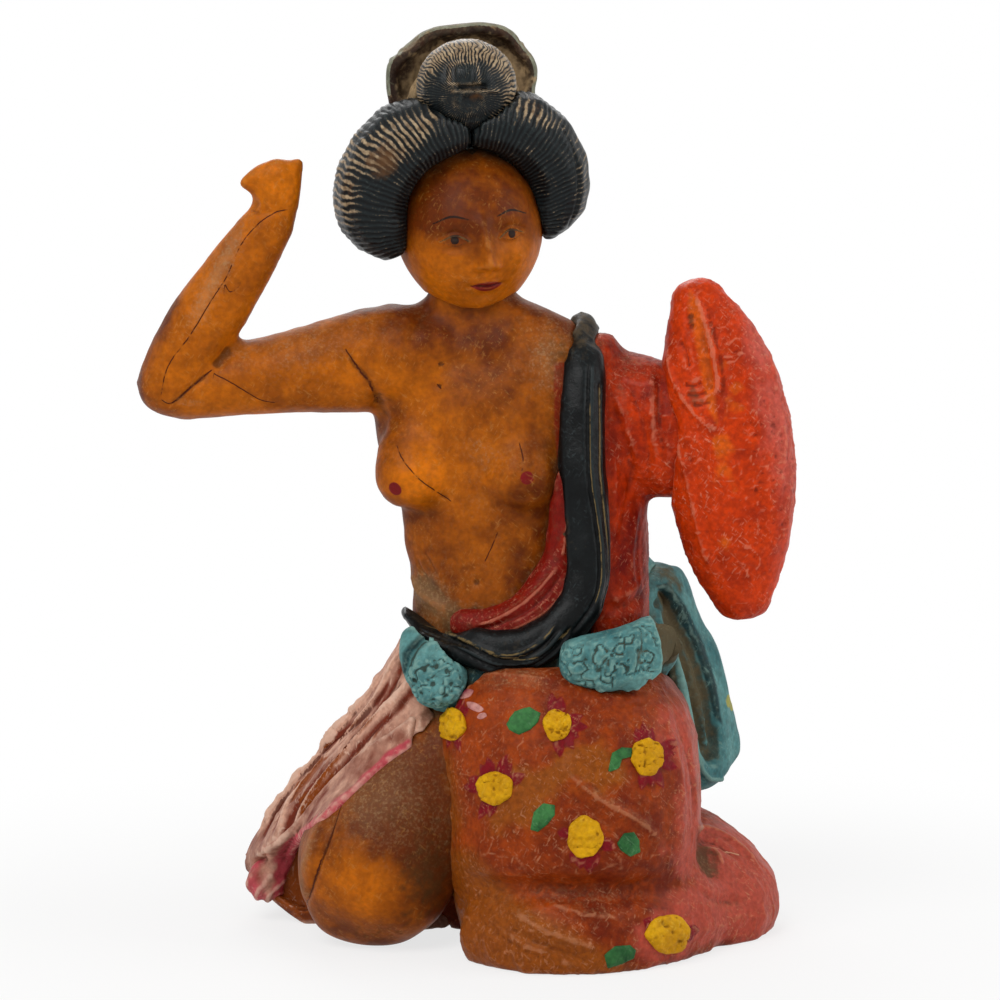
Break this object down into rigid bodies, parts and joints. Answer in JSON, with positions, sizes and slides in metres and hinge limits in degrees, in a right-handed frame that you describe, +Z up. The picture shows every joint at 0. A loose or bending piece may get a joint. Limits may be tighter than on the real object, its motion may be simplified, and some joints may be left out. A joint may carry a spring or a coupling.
{
  "type": "resin figurine",
  "caption": "Small free-standing painted resin figurine of a kneeling woman in a slipped robe and sash, one arm raised; a decorative ornament that rests on its flat underside.",
  "frame": {"origin": "on the flat underside of the robe's front, about the middle of the figure's footprint", "axes": "+Z up from the table, -Y the way the figure faces, +X towards the figure's left hand"},
  "size_m": [0.0548, 0.0357, 0.0772],
  "materials": {
    "amber_resin": "translucent amber casting resin, glossy with dust in the hollows",
    "black_paint": "worn satin blue-black paint",
    "brown_paint": "dull brown-black paint",
    "red_paint": "glossy translucent orange-red paint",
    "russet_paint": "glossy translucent red-brown paint over amber",
    "rose_paint": "worn dull pink-brown paint",
    "teal_paint": "dull turquoise paint with dirt in the relief"
  },
  "bodies": {
    "root": {"torso": "amber_resin", "right_upper_arm": "amber_resin", "right_forearm": "amber_resin", "right_hand": "amber_resin", "head": "amber_resin", "right_leg": "amber_resin", "hair_front_knot": "black_paint", "hair_wing_right": "black_paint", "hair_wing_left": "black_paint", "hair_cap": "black_paint", "hair_nape_roll": "black_paint", "collar_front": "black_paint", "collar_back": "black_paint", "hair_fan": "brown_paint", "skirt_train": "red_paint", "robe_bodice": "red_paint", "sleeve_upper": "red_paint", "sleeve_hanging": "red_paint", "skirt_front": "russet_paint", "skirt_back": "russet_paint", "robe_side_panel": "rose_paint", "under_robe": "rose_paint", "sash_band": "teal_paint", "sash_end": "teal_paint", "sash_bow": "teal_paint", "sash_bow_knot": "teal_paint"}
  },
  "joints": []
}
